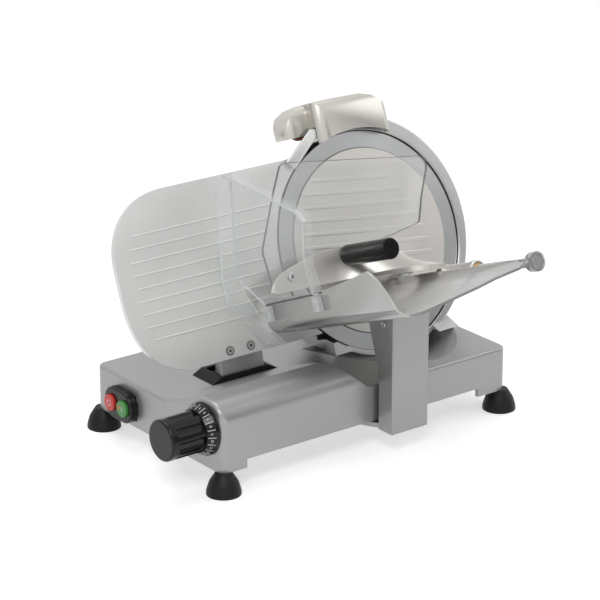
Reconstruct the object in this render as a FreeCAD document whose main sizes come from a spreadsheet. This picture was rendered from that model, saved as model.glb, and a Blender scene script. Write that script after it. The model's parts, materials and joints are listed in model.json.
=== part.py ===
import FreeCAD, Part
import math
import os
import re
import Sketcher

# Deli meat slicer with an angled blade, millimetres, +Z up.
# The origin is the centre of the four feet, on the worktop. The product table slides along X,
# the operator stands at -Y, and the blade leans back about X by "tilt".
# Blade frame: u = X - blade_x, v climbs the blade face, w points out of it, towards the operator.

doc = FreeCAD.newDocument("meat_slicer")
sheet = doc.addObject("Spreadsheet::Sheet", "dim")

DIMENSIONS = {
    # base casting
    "base_half_length": 199, "base_half_depth": 119.5, "base_bottom": 24, "base_top": 76,
    "base_wall": 5, "base_corner": 10, "base_edge": 4, "skirt_lift": 10,
    "skirt_left": 166, "skirt_right": 157,
    "hump_crease_y": -14, "hump_ridge_y": -80, "hump_top": 101, "hump_round": 22,
    "scoop_radius": 188, "well_radius": 144, "well_back": 34, "well_lining": 4,
    # feet
    "foot_inset_x": 5.5, "foot_inset_y": 5, "foot_radius": 19, "foot_belly": 4, "foot_waist": 14,
    "foot_shoulder": 16, "foot_neck": 9.5, "foot_bend": 18,
    "foot_recess": 6, "foot_recess_depth": 10, "stud_radius": 3, "stud_head": 8,
    "stud_head_height": 2, "stud_grip": 20, "boss_radius": 14,
    # blade and drive
    "blade_x": 110, "blade_y": 19, "blade_z": 183.5, "tilt": 21,
    "blade_radius": 125, "blade_rim": 3, "blade_bevel": 6, "blade_dish": 106, "dish_depth": 3.2,
    "disc_depth": 7, "shaft_radius": 10, "shaft_bore": 4.5, "shaft_end": 52,
    "bearing_radius": 15, "bearing_width": 9, "running_gap": 0.05, "hub_radius": 21,
    "web_front": 26, "pulley_radius": 38, "pulley_front": 12.5, "pulley_width": 12,
    "motor_u": 52, "motor_v": -20, "motor_radius": 28, "motor_end": 96, "motor_pulley_radius": 12,
    "motor_shaft_radius": 5, "motor_cover_u": 30, "motor_cover_v": -10,
    "motor_cover_radius": 56, "motor_cover_end": 99, "motor_cover_wall": 3,
    "belt_gap": 0.3, "belt_thickness": 2, "belt_width": 8,
    # blade cover and guard ring
    "cover_gap": 0.5, "cover_front": 1.5, "cover_back": 2.5, "cover_rib_pitch": 15.1,
    "cover_rib_height": 1.2, "cover_rib_width": 4.6, "cover_turn": 7.3,
    "tie_rod_radius": 4, "cover_knob_radius": 16, "cover_knob_length": 19,
    "ring_radius": 137.5, "ring_shift_u": 2, "ring_shift_v": 5, "ring_inside": 127.5,
    "ring_front": 3, "ring_edge": 2, "web_radius": 124,
    # gauge plate
    "gauge_thickness": 6, "gauge_top": 110, "gauge_bottom": -88.5, "gauge_left": -337,
    "gauge_rib_pitch": 14.2, "gauge_rib_height": 0.8, "gauge_rib_width": 2.4,
    "gauge_rib_top": 65.7, "gauge_travel": 16, "gauge_screw": 3.5,
    "bracket_x": -91, "bracket_width": 57, "leg_front_y": -11, "leg_back_y": 3,
    "slot_gap": 1.5, "slot_front_y": -12, "slot_back_y": 20.5,
    "gauge_rod_z": 52, "gauge_rod_radius": 5, "gauge_bush_radius": 9,
    "collar_flare": 14, "collar_height": 6.4,
    # thickness knob
    "knob_y": -88, "knob_z": 67, "knob_shaft_radius": 6, "knob_radius": 23, "dial_radius": 29,
    "dial_width": 12, "dial_rim": 3, "knob_gap": 1, "knob_length": 55, "knob_edge": 2.5,
    "flute_radius": 9, "flute_depth": 2.8, "flute_start": 9, "flute_count": 8,
    "cam_radius": 12, "cam_throw": 3, "cam_x": -118, "cam_width": 8, "knob_bush_radius": 9,
    # switch
    "switch_y": 63, "switch_z": 46, "switch_length": 52, "switch_height": 36, "switch_depth": 10,
    "switch_wall": 3, "switch_corner": 16, "switch_edge": 2, "button_radius": 9.5,
    "button_gap": 0.4, "button_half_pitch": 12, "button_proud": 3.5, "button_travel": 3, "button_edge": 1,
    # carriage
    "slide_gap": 0.5, "slide_rod_z": 44, "slide_rod_radius": 6, "slide_bush_radius": 8,
    "foot_block_half": 10, "slide_rod_end": 20,
    "post_gap": 4.5, "post_depth": 24, "post_left": 8.5, "post_right": 59, "post_wall": 4,
    "post_edge": 1.5,
    "tongue_bottom": 24.6, "tongue_thickness": 5.4, "tray_seat": -79,
    "tray_left": -166, "tray_floor": -72, "tray_sheet": 3, "tray_bend": 11, "tray_back": 8,
    "tray_length": 239,
    # pusher
    "rod_u": 30, "rod_v": -54, "pusher_rod_radius": 6, "pusher_bush_radius": 8,
    "pusher_sleeve_radius": 11, "sleeve_back": 80, "sleeve_length": 64, "lug_width": 9,
    "pusher_back": 24, "pusher_thickness": 6, "guard_plate_back": 17, "guard_plate_thickness": 3.5,
    "handle_u": -56, "handle_v": -9, "handle_radius": 12, "handle_length": 80, "handle_edge": 1.5,
    # clear guard on the table
    "guard_sheet": 3.5, "guard_lip": 8,
    # sharpener
    "sharpener_back": 34, "sharpener_front": 15.5, "sharpener_wall": 3, "sharpener_round": 12,
    "sharpener_left": -80, "sharpener_right": 55.5, "step_front": -2, "step_u": -46, "sharpener_gap": 1,
    "tip_guard_thickness": 3,
    "post_u": -15, "post_w": -15, "sharpener_post_radius": 6, "stone_u": -56, "stone_v": 141,
    "grinder_radius": 14, "deburrer_u": -24, "deburrer_v": 139, "deburrer_radius": 12,
    "spindle_radius": 3,
}
for row, (name, size) in enumerate(DIMENSIONS.items(), start=1):
    sheet.set(f"A{row}", str(size))
    sheet.setAlias(f"A{row}", name)
doc.recompute()

# Places worked out from the table.
LEFT = "(-base_half_length)"
NEAR_INSIDE = "(base_wall - base_half_depth)"
SLIDE_Y = "(base_wall + slide_gap + foot_block_half - base_half_depth)"
POST_BACK = "(-base_half_depth - post_gap)"
POST_FRONT = "(-base_half_depth - post_gap - post_depth)"
SWITCH_FACE = "(-base_half_length - switch_depth)"
DIAL_X = "(-base_half_length - knob_gap)"
SLOT_LENGTH = "(bracket_width + 2 * slot_gap)"
TURNS = {
    "z": ((0, 0, 1), "0"),
    "x": ((0, 1, 0), "90"),
    "y": ((1, 0, 0), "-90"),
    "w": ((1, 0, 0), "90 - tilt"),
    "v": ((1, 0, 0), "-tilt"),
}
nodes = []


def linked(formula):
    """The formula with each table word turned into a reference to the table."""
    return re.sub(r"[a-z][a-z_]*", lambda word: "dim." + word.group()
                  if word.group() in DIMENSIONS else word.group(), str(formula))


def value(formula):
    return float(sheet.evalExpression(linked(formula)))


def bind(obj, **formulas):
    for name, formula in formulas.items():
        obj.setExpression(name, linked(formula))
    return obj


def at_blade(u, v, w):
    """World coordinates, as formulas, of a point of the blade frame."""
    return (f"blade_x + ({u})",
            f"blade_y + ({v}) * sin(tilt) - ({w}) * cos(tilt)",
            f"blade_z + ({v}) * cos(tilt) + ({w}) * sin(tilt)")


def place(obj, point, along="z"):
    axis, angle = TURNS[along]
    turn = FreeCAD.Rotation(FreeCAD.Vector(*axis), value(angle))
    obj.Placement = FreeCAD.Placement(FreeCAD.Vector(), turn)
    if "tilt" in angle:
        obj.setExpression("Placement.Rotation.Angle", linked(angle))
    for letter, formula in zip("xyz", point):
        obj.setExpression("Placement.Base." + letter, linked(formula))
    return obj


def cylinder(radius, length, point, along="z"):
    return place(bind(doc.addObject("Part::Cylinder", "round"), Radius=radius, Height=length),
                 point, along)


def cone(radius, end_radius, length, point, along="z"):
    taper = bind(doc.addObject("Part::Cone", "taper"),
                 Radius1=radius, Radius2=end_radius, Height=length)
    return place(taper, point, along)


def box(length, depth, height, point, along="z"):
    return place(bind(doc.addObject("Part::Box", "block"), Length=length, Width=depth,
                      Height=height), point, along)


def fuse(*solids):
    joined = doc.addObject("Part::MultiFuse", "joined")
    joined.Shapes = list(solids)
    joined.Refine = True
    return joined


def cut(base, *tools):
    result = doc.addObject("Part::Cut", "trimmed")
    result.Base = base
    result.Tool = fuse(*tools) if len(tools) > 1 else tools[0]
    return result


def common(first, second):
    shared = doc.addObject("Part::Common", "shared")
    shared.Base = first
    shared.Tool = second
    return shared


def group(*solids):
    compound = doc.addObject("Part::Compound", "set")
    compound.Links = list(solids)
    return compound


def tube(outer, inner, length, point, along="z"):
    return cut(cylinder(outer, length, point, along), cylinder(inner, length, point, along))


def rounded(solid, radius, wanted):
    """Rounds the edges whose two ends both satisfy the test, by that radius."""
    doc.recompute()
    size = value(radius)
    edges = [(number, size, size) for number, edge in enumerate(solid.Shape.Edges, start=1)
             if all(wanted(vertex.Point) for vertex in edge.Vertexes)]
    rounding = doc.addObject("Part::Fillet", "rounding")
    rounding.Base = solid
    rounding.Edges = edges
    return rounding


def node(name, obj):
    """Register a finished piece under the name that its file takes."""
    obj.Label = name
    nodes.append(obj)
    return obj


def draw(body, plane, start, loops):
    """A sketch on one of the body's origin planes, each corner tied to its formulas."""
    sketch = body.newObject("Sketcher::SketchObject", "profile")
    support = [plane_item for plane_item in body.Origin.OriginFeatures
               if plane_item.Role == plane + "_Plane"]
    sketch.AttachmentSupport = [(support[0], "")]
    sketch.MapMode = "FlatFace"
    sketch.setExpression("AttachmentOffset.Base.z", linked(start))
    for corners in loops:
        first = sketch.GeometryCount
        points = [FreeCAD.Vector(value(corner[0]), value(corner[1])) for corner in corners]
        for point, following in zip(points, points[1:] + points[:1]):
            sketch.addGeometry(Part.LineSegment(point, following))
        for index, point in enumerate(points):
            line = first + index
            following = first + (index + 1) % len(points)
            sketch.addConstraint(Sketcher.Constraint("Coincident", line, 2, following, 1))
            across = sketch.addConstraint(
                Sketcher.Constraint("DistanceX", -1, 1, line, 1, point.x))
            sketch.setExpression(f"Constraints[{across}]", linked(corners[index][0]))
            upward = sketch.addConstraint(
                Sketcher.Constraint("DistanceY", -1, 1, line, 1, point.y))
            sketch.setExpression(f"Constraints[{upward}]", linked(corners[index][1]))
    return sketch


def pad(body, plane, start, depth, loops):
    feature = body.newObject("PartDesign::Pad", "pad")
    feature.Profile = draw(body, plane, start, loops)
    bind(feature, Length=depth)
    doc.recompute()
    return feature


def soften_top(body, height, radius):
    """Rounds every edge that lies wholly at a height above the body's XY plane."""
    base = body.Tip
    level = value(height)
    edges = [f"Edge{number}" for number, edge in enumerate(base.Shape.Edges, start=1)
             if all(abs(vertex.Point.z - level) < 1e-6 for vertex in edge.Vertexes)]
    softening = body.newObject("PartDesign::Fillet", "softening")
    softening.Base = (base, edges)
    bind(softening, Radius=radius)
    doc.recompute()


def extruded(plane, corners, start, depth, tilted=False):
    """A body padded from one outline. A corner's third entry rounds it by that radius."""
    body = doc.addObject("PartDesign::Body", "body")
    place(body, at_blade(0, 0, 0) if tilted else ("0", "0", "0"), "w" if tilted else "z")
    feature = pad(body, plane, start, depth, [corners])
    rounds = {}
    for corner in corners:
        if len(corner) == 3:
            spot = feature.Profile[0].Placement.multVec(
                FreeCAD.Vector(value(corner[0]), value(corner[1])))
            rounds.setdefault(corner[2], []).append(spot)
    for radius, spots in rounds.items():
        base = body.Tip
        edges = []
        for number, edge in enumerate(base.Shape.Edges, start=1):
            ends = [vertex.Point for vertex in edge.Vertexes]
            if abs(edge.Length - value(depth)) < 1e-6 and len(ends) == 2:
                if any((end - spot).Length < 1e-6 for end in ends for spot in spots):
                    edges.append(f"Edge{number}")
        rounding = body.newObject("PartDesign::Fillet", "rounding")
        rounding.Base = (base, edges)
        bind(rounding, Radius=radius)
        doc.recompute()
    return body


def sheet_panel(corners, push):
    """A flat sheet between an outline in the blade frame and its copy pushed by a vector."""
    points = [blade_vector(*corner) for corner in corners]
    face = Part.Face(Part.makePolygon(points + points[:1]))
    return face.extrude(blade_vector(*push) - blade_vector(0, 0, 0))


def blade_vector(u, v, w):
    return FreeCAD.Vector(*[value(formula) for formula in at_blade(u, v, w)])


def ribs(left, right, pitch, width, count, top, turn="0"):
    """Rectangles across a face, one per rib, their rows turned clockwise by an angle."""
    loops = []
    for index in range(count):
        row = f"({top} - {index} * {pitch})"
        edge_rows = (f"({row} - {width} / 2)", f"({row} + {width} / 2)")
        ends = (left(index), right(index))
        corners = [(ends[0], edge_rows[0]), (ends[1], edge_rows[0]),
                   (ends[1], edge_rows[1]), (ends[0], edge_rows[1])]
        loops.append([(f"({u}) * cos({turn}) + ({v}) * sin({turn})",
                       f"({v}) * cos({turn}) - ({u}) * sin({turn})") for u, v in corners])
    return loops


# ---------------------------------------------------------------- base casting
def rounded_slab(inset, bottom, top):
    x = f"(base_half_length - {inset})"
    y = f"(base_half_depth - {inset})"
    radius = f"base_corner - {inset}"
    corners = [(f"-{x}", f"-{y}", radius), (x, f"-{y}", radius), (x, y, radius),
               (f"-{x}", y, radius)]
    return extruded("XY", corners, bottom, f"{top} - {bottom}")


def top_form(inset, bottom):
    """Cross-section of the base: flat top, then the hump along the operator's side."""
    y = f"(base_half_depth - {inset})"
    corners = [(f"-{y}", bottom), (y, bottom), (y, f"base_top - {inset}"),
               (f"hump_crease_y + {inset} * 0.17", f"base_top - {inset}"),
               (f"hump_ridge_y + {inset} * 0.17", f"hump_top - {inset}"),
               (f"-{y}", f"hump_top - {inset}", f"hump_round - {inset}")]
    return extruded("YZ", corners, "-base_half_length", "2 * base_half_length")


def scoop(inset):
    """The hump stops at a hollow about the blade axis, and does not come back beyond it."""
    hollow = cylinder(f"scoop_radius + {inset}", "500", at_blade(0, 0, "-250"), "w")
    beyond = box("2 * base_half_length", "3 * base_half_depth", "60",
                 ("blade_x", "-1.5 * base_half_depth", f"base_top - {inset}"))
    slab = box("3 * base_half_length", "3 * base_half_depth", "60",
               ("-1.5 * base_half_length", "-1.5 * base_half_depth", f"base_top - {inset}"))
    return common(fuse(hollow, beyond), slab)


def base_form(inset, bottom):
    slab = rounded_slab(inset, bottom, "hump_top + 10")
    return cut(common(slab, top_form(inset, bottom)), scoop(inset))


def on_top_rim(point):
    """The rim of the flat top away from the hump's crease, and the whole left end above it."""
    flat = abs(point.z - value("base_top")) < 1e-3
    creased = abs(point.y - value("hump_crease_y")) < 1e-2
    left_end = abs(point.x - value(LEFT)) < value("base_corner") + 0.1
    return flat and not creased or left_end and point.z > value("base_top") - 0.1


outside = rounded(base_form("0", "base_bottom"), "base_edge", on_top_rim)
cavity = base_form("base_wall", "base_bottom - 10")
skirt_openings = box("skirt_left + skirt_right", "3 * base_half_depth", "skirt_lift + 5",
                     ("-skirt_left", "-1.5 * base_half_depth", "base_bottom - 5"))
lining = common(outside, cylinder("well_radius + well_lining", "300",
                                  at_blade(0, 0, "-well_back - well_lining"), "w"))
well = cylinder("well_radius", "300", at_blade(0, 0, "-well_back"), "w")
slot = box(SLOT_LENGTH, "slot_back_y - slot_front_y", "40",
           (f"bracket_x - {SLOT_LENGTH} / 2", "slot_front_y", "base_top - 20"))
switch_opening = box("base_wall + 2", "switch_length - 6", "switch_height - 6",
                     (f"{LEFT} - 1", "switch_y - switch_length / 2 + 3",
                      "switch_z - switch_height / 2 + 3"))
knob_hole = cylinder("knob_bush_radius", "base_wall + 2", (f"{LEFT} - 1", "knob_y", "knob_z"), "x")
foot_places = [(f"{a} * (base_half_length - foot_inset_x)", f"{b} * (base_half_depth - foot_inset_y)")
               for a in (-1, 1) for b in (-1, 1)]
bosses = [cylinder("boss_radius", "base_top - base_bottom - base_wall", (x, y, "base_bottom"))
          for x, y in foot_places]
boss_form = common(outside, fuse(*bosses))
stud_holes = [cylinder("stud_radius + 0.1", "stud_grip + 5", (x, y, "base_bottom - 1"))
              for x, y in foot_places]
shell = cut(outside, cut(cavity, lining), skirt_openings)
base_casting = node("base_casting", cut(fuse(shell, boss_form), well, slot, switch_opening,
                                        knob_hole, *stud_holes))

plate_edge = "(base_half_length - base_wall)"
node("bottom_cover", box(f"2 * {plate_edge}", "182", "2", (f"-{plate_edge}", "-84", "base_bottom + 2")))

# ---------------------------------------------------------------- feet
studs = []
for number, (x, y) in enumerate(foot_places, start=1):
    rubber = fuse(cylinder("foot_radius", "foot_belly", (x, y, "0")),
                  cone("foot_radius", "foot_shoulder", "foot_waist - foot_belly", (x, y, "foot_belly")),
                  cone("foot_shoulder", "foot_neck", "base_bottom - foot_waist", (x, y, "foot_waist")))
    for bend in ("foot_belly", "foot_waist"):
        level = value(bend)
        rubber = rounded(rubber, "foot_bend", lambda point: abs(point.z - level) < 1e-6)
    head = cylinder("stud_head", "stud_head_height", (x, y, "foot_recess_depth + 2"))
    shank = cylinder("stud_radius", "base_bottom - foot_recess_depth - 2 + stud_grip",
                     (x, y, "foot_recess_depth + 2"))
    stud = fuse(head, shank)
    studs.append(stud)
    node(f"foot_{number}", cut(rubber, cylinder("foot_recess", "foot_recess_depth", (x, y, "0")), stud))
node("foot_studs", group(*studs))

# ---------------------------------------------------------------- switch
def switch_form(inset, start, depth):
    """A stadium on its side, centred on the switch."""
    y = f"(switch_length / 2 - {inset})"
    z = f"(switch_height / 2 - {inset})"
    corners = [(f"switch_y + {a} * {y}", f"switch_z + {b} * {z}", f"switch_corner - {inset}")
               for a, b in ((-1, -1), (1, -1), (1, 1), (-1, 1))]
    return extruded("YZ", corners, start, depth)


switch_front = value(SWITCH_FACE)
housing = rounded(switch_form("0", SWITCH_FACE, "switch_depth"), "switch_edge",
                  lambda point: abs(point.x - switch_front) < 1e-6)
hollow = switch_form("switch_wall", f"{SWITCH_FACE} + switch_wall", "switch_depth - switch_wall")
button_places = (("stop_button", "switch_y + button_half_pitch"),
                 ("start_button", "switch_y - button_half_pitch"))
button_holes = [cylinder("button_radius + button_gap", "switch_depth",
                         (f"{SWITCH_FACE} - 1", y, "switch_z"), "x") for _, y in button_places]
node("switch_housing", cut(housing, hollow, *button_holes))
node("switch_block", box("14", "switch_length - 8", "switch_height - 8",
                         (LEFT, "switch_y - switch_length / 2 + 4",
                          "switch_z - switch_height / 2 + 4")))
for name, y in button_places:
    cap = cylinder("button_radius", "switch_depth + button_proud - button_travel - 0.5",
                   (f"{SWITCH_FACE} - button_proud", y, "switch_z"), "x")
    node(name, rounded(cap, "button_edge", lambda point: point.x < switch_front))

# ---------------------------------------------------------------- thickness knob
dial = fuse(cone("knob_radius + 1", "dial_radius", "dial_width - dial_rim",
                 (f"{DIAL_X} - dial_width", "knob_y", "knob_z"), "x"),
            cylinder("dial_radius", "dial_rim", (f"{DIAL_X} - dial_rim", "knob_y", "knob_z"), "x"))
knob_end = value(f"{DIAL_X} - knob_length")
grip = rounded(cylinder("knob_radius", "knob_length - dial_width",
                        (f"{DIAL_X} - knob_length", "knob_y", "knob_z"), "x"),
               "knob_edge", lambda point: abs(point.x - knob_end) < 1e-6)
flutes = []
for index in range(int(DIMENSIONS["flute_count"])):
    angle = f"(360 * {index} / flute_count + 8)"
    flutes.append(cylinder("flute_radius", "knob_length - dial_width - flute_start",
                           (f"{DIAL_X} - knob_length + flute_start",
                            f"knob_y + (knob_radius + flute_radius - flute_depth) * cos({angle})",
                            f"knob_z + (knob_radius + flute_radius - flute_depth) * sin({angle})"),
                           "x"))
node("thickness_knob", fuse(dial, cut(grip, *flutes)))
node("knob_shaft", cylinder("knob_shaft_radius", f"cam_x + cam_width - {DIAL_X}",
                            (DIAL_X, "knob_y", "knob_z"), "x"))
node("knob_bush", tube("knob_bush_radius", "knob_shaft_radius + running_gap", "base_wall + 6",
                       (LEFT, "knob_y", "knob_z"), "x"))
node("gauge_cam", cut(cylinder("cam_radius", "cam_width",
                               ("cam_x", "knob_y - cam_throw", "knob_z"), "x"),
                      cylinder("knob_shaft_radius", "cam_width",
                               ("cam_x", "knob_y", "knob_z"), "x")))

# ---------------------------------------------------------------- gauge plate
plate = extruded("XY", [
    ("gauge_left", -22, 120), ("gauge_left", 45, 90), ("gauge_left + 15", "gauge_top - 14", 70),
    ("gauge_left + 67", "gauge_top", 100), (-50, "gauge_top"), (-50, "gauge_bottom"),
    ("gauge_left + 58", "gauge_bottom", 80), ("gauge_left + 15", "gauge_bottom + 20", 65)],
    "-gauge_thickness", "gauge_thickness", tilted=True)
rib_ends = (308, 315, 317, 317, 316, 316, 317, 315, 308)
pad(plate, "XY", "-0.5", "gauge_rib_height + 0.5",
    ribs(lambda index: f"(29 + gauge_left - {rib_ends[index] - 308})",
         lambda index: f"-sqrt((ring_inside + 9)^2 - (gauge_rib_top - {index} * gauge_rib_pitch)^2)",
         "gauge_rib_pitch", "gauge_rib_width", len(rib_ends), "gauge_rib_top"))
soften_top(plate, "gauge_rib_height", "gauge_rib_height - 0.1")
screw_spots = ((-218, "gauge_bottom + 8.5"), (-190, "gauge_bottom + 8.5"))
sweep = cylinder("ring_inside", "40", at_blade(0, 0, -20), "w")
node("gauge_plate", cut(plate, sweep, *[cylinder("gauge_screw", "gauge_thickness",
                                                 at_blade(u, v, "-gauge_thickness"), "w")
                                        for u, v in screw_spots]))
node("gauge_screws", group(*[cylinder("gauge_screw", "gauge_thickness + 0.6",
                                      at_blade(u, v, "-gauge_thickness"), "w")
                             for u, v in screw_spots]))
plate_foot = at_blade(0, "gauge_bottom", "-gauge_thickness")
plate_rest = at_blade(0, "gauge_bottom + 20", "-gauge_thickness")
bracket = extruded("YZ", [
    ("leg_front_y", "gauge_rod_z"), ("leg_back_y", "gauge_rod_z"),
    ("leg_back_y", "base_top + 20"), (f"{plate_rest[1]} + 8", plate_rest[2]),
    (plate_rest[1], plate_rest[2]), (plate_foot[1], plate_foot[2]),
    ("leg_front_y", "base_top + 6")],
    "bracket_x - bracket_width / 2", "bracket_width")
follower = box("cam_width", f"leg_front_y + 1 - (knob_y + cam_radius + cam_throw + 1)", "12",
               ("cam_x", "knob_y + cam_radius + cam_throw + 1", "gauge_rod_z + 4"))
bush_spot = ("bracket_x", "leg_front_y - 4", "gauge_rod_z")
bush_length = "leg_back_y - leg_front_y + 8"
node("gauge_bracket", cut(fuse(bracket, follower),
                          cylinder("gauge_bush_radius", bush_length, bush_spot, "y")))
node("gauge_bush", tube("gauge_bush_radius", "gauge_rod_radius + running_gap", bush_length,
                        bush_spot, "y"))
rod_start = "(leg_front_y - 14)"
rod_length = "(leg_back_y - leg_front_y + gauge_travel + 36)"
node("gauge_rod", cylinder("gauge_rod_radius", rod_length, ("bracket_x", rod_start, "gauge_rod_z"), "y"))
rod_blocks = [box("20", "8", "base_top - gauge_rod_z + 8", ("bracket_x - 10", y, "gauge_rod_z - 10"))
              for y in (rod_start, f"{rod_start} + {rod_length} - 8")]
node("gauge_rod_mounts", cut(group(*rod_blocks), base_casting,
                             cylinder("gauge_rod_radius", rod_length,
                                      ("bracket_x", rod_start, "gauge_rod_z"), "y")))
collar_y = "(slot_back_y - slot_front_y)"
collar_side = extruded("XZ", [
    (f"bracket_x - {SLOT_LENGTH} / 2 - collar_flare", "base_top"),
    (f"bracket_x + {SLOT_LENGTH} / 2 + collar_flare", "base_top"),
    (f"bracket_x + {SLOT_LENGTH} / 2 + slot_gap", "base_top + collar_height"),
    (f"bracket_x - {SLOT_LENGTH} / 2 - slot_gap", "base_top + collar_height")],
    "-slot_back_y - 4", f"{collar_y} + 6")
node("slot_collar", cut(collar_side, slot, base_casting))

# ---------------------------------------------------------------- blade and its shaft
rim = cone("blade_radius - blade_bevel", "blade_radius", "blade_rim", at_blade(0, 0, "-blade_rim"), "w")
disc = cylinder("blade_dish + 2", "disc_depth", at_blade(0, 0, "-disc_depth"), "w")
dish = cylinder("blade_dish", "dish_depth", at_blade(0, 0, "-dish_depth"), "w")
blade_screw_places = [(f"15 * cos({turn})", f"15 * sin({turn})") for turn in (45, 135, 225, 315)]
blade_screws = [cylinder("2.5", "pulley_front - dish_depth", at_blade(u, v, "-pulley_front"), "w")
                for u, v in blade_screw_places]
shaft_core = cylinder("shaft_radius", "shaft_end - dish_depth", at_blade(0, 0, "-shaft_end"), "w")
node("blade", cut(fuse(rim, disc), dish, shaft_core, group(*blade_screws)))
node("blade_screws", group(*blade_screws))
node("blade_shaft", cut(shaft_core, cylinder("shaft_bore", "shaft_end",
                                             at_blade(0, 0, "-shaft_end"), "w")))
pulley_back = "(pulley_front + pulley_width)"
hub = cylinder("shaft_radius + 10", f"{pulley_back} - disc_depth", at_blade(0, 0, f"-{pulley_back}"), "w")
wheel = cylinder("pulley_radius", "pulley_width", at_blade(0, 0, f"-{pulley_back}"), "w")
node("blade_pulley", cut(fuse(hub, wheel), shaft_core, group(*blade_screws)))
node("blade_bearings", group(*[tube("bearing_radius", "shaft_radius + running_gap", "bearing_width",
                                    at_blade(0, 0, w), "w")
                               for w in ("-web_front - bearing_width - 2", "-shaft_end")]))

# ---------------------------------------------------------------- guard ring and blade casting
ring_outer = cylinder("ring_radius", "ring_front + well_back",
                      at_blade("ring_shift_u", "ring_shift_v", "-well_back"), "w")
ring_edge_y = value(at_blade("ring_radius + ring_shift_u", "ring_shift_v", "ring_front")[1])
ring_outer = rounded(ring_outer, "ring_edge", lambda point: abs(point.y - ring_edge_y) < 1e-3)
ring_bore = cylinder("ring_inside", "60", at_blade(0, 0, "-web_front"), "w")
left_foot = extruded("YZ", [(-26, "base_top"), (36, "base_top"), (20, "base_top + 16"),
                            (-20, "base_top + 13")], "27", "25")
right_foot = extruded("YZ", [(-38, "base_top"), (40, "base_top"), (40, "base_top + 34"),
                             (10, "base_top + 26"), (-5, "base_top + 11")], "168", "29")
open_side = extruded("XY", [(0, 0), (-60.4, 197.5), (-300, 200), (-300, -200), (-104, -166.5)],
                     "-100", "200", tilted=True)
open_side_cut = cut(open_side, cylinder("web_radius", "300", at_blade(0, 0, -150), "w"))
blade_hub = cylinder("hub_radius", "shaft_end - web_front", at_blade(0, 0, "-shaft_end"), "w")
motor_hole = cylinder("motor_shaft_radius + 3", "20", at_blade("motor_u", "motor_v", -40), "w")
ring_body = fuse(cut(ring_outer, open_side_cut), cut(left_foot, cut(ring_bore, open_side)),
                 right_foot, blade_hub)
web_space = cylinder("ring_inside", "200", at_blade(0, 0, "-web_front"), "w")
ring_casting = node("ring_casting", cut(ring_body, web_space, motor_hole, base_casting,
                                        cylinder("bearing_radius", "shaft_end",
                                                 at_blade(0, 0, "-shaft_end"), "w")))
tip_guard = extruded("XY", [(-36, 136), (-52, 137), (-93, 107), (-84, 97), (-50, 124), (-40, 127)],
                     "ring_front", "tip_guard_thickness", tilted=True)
node("blade_tip_guard", tip_guard)

# ---------------------------------------------------------------- motor and belt
motor_spot = at_blade("motor_u", "motor_v", "-motor_end")
rotor_start = "(web_front + 36)"
rotor_gap = cylinder("motor_shaft_radius + running_gap", rotor_start,
                     at_blade("motor_u", "motor_v", f"-{rotor_start} - 1"), "w")
node("motor", cut(cylinder("motor_radius", "motor_end - well_back", motor_spot, "w"), rotor_gap))
rotor = cylinder("motor_shaft_radius", f"{rotor_start} - pulley_front + 2",
                 at_blade("motor_u", "motor_v", f"-{rotor_start}"), "w")
node("motor_shaft", rotor)
node("motor_pulley", tube("motor_pulley_radius", "motor_shaft_radius", "pulley_width",
                          at_blade("motor_u", "motor_v", f"-{pulley_back}"), "w"))
cover_outer = cylinder("motor_cover_radius", "motor_cover_end - well_back",
                       at_blade("motor_cover_u", "motor_cover_v", "-motor_cover_end"), "w")
cover_inner = cylinder("motor_cover_radius - motor_cover_wall", "motor_cover_end",
                       at_blade("motor_cover_u", "motor_cover_v",
                                "motor_cover_wall - motor_cover_end"), "w")
rod_hole = cylinder("shaft_bore", "motor_cover_end", at_blade(0, 0, "-motor_cover_end"), "w")
node("motor_cover", cut(cover_outer, cover_inner, rod_hole))
behind = box("400", "400", "200", at_blade(-200, -250, "-well_back"), "w")
pedestal = box("75", "70", "34", ("75", "16", "base_top"))
node("blade_pedestal", cut(pedestal, behind, cover_outer, ring_casting))


def belt_outline(gap):
    """Outline round both pulleys, at a gap from each."""
    big = value(f"pulley_radius + {gap}")
    small = value(f"motor_pulley_radius + {gap}")
    apart = FreeCAD.Vector(value("motor_u"), value("motor_v"))
    heading = math.atan2(apart.y, apart.x)
    lean = math.acos((big - small) / apart.Length)
    rims = [FreeCAD.Vector(math.cos(heading + side * lean), math.sin(heading + side * lean))
            for side in (1, -1)]
    away = FreeCAD.Vector(math.cos(heading), math.sin(heading))
    far_big = away * -big
    far_small = apart + away * small
    arcs = [Part.Arc(rims[0] * big, far_big, rims[1] * big),
            Part.LineSegment(rims[1] * big, apart + rims[1] * small),
            Part.Arc(apart + rims[1] * small, far_small, apart + rims[0] * small),
            Part.LineSegment(apart + rims[0] * small, rims[0] * big)]
    return Part.Face(Part.Wire([arc.toShape() for arc in arcs]))


belt_face = belt_outline("belt_gap + belt_thickness").cut(belt_outline("belt_gap"))
belt = doc.addObject("Part::Feature", "belt")
belt.Shape = belt_face.extrude(FreeCAD.Vector(0, 0, value("belt_width")))
place(belt, at_blade(0, 0, f"-{pulley_back} + (pulley_width - belt_width) / 2"), "w")
node("drive_belt", belt)

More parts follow.
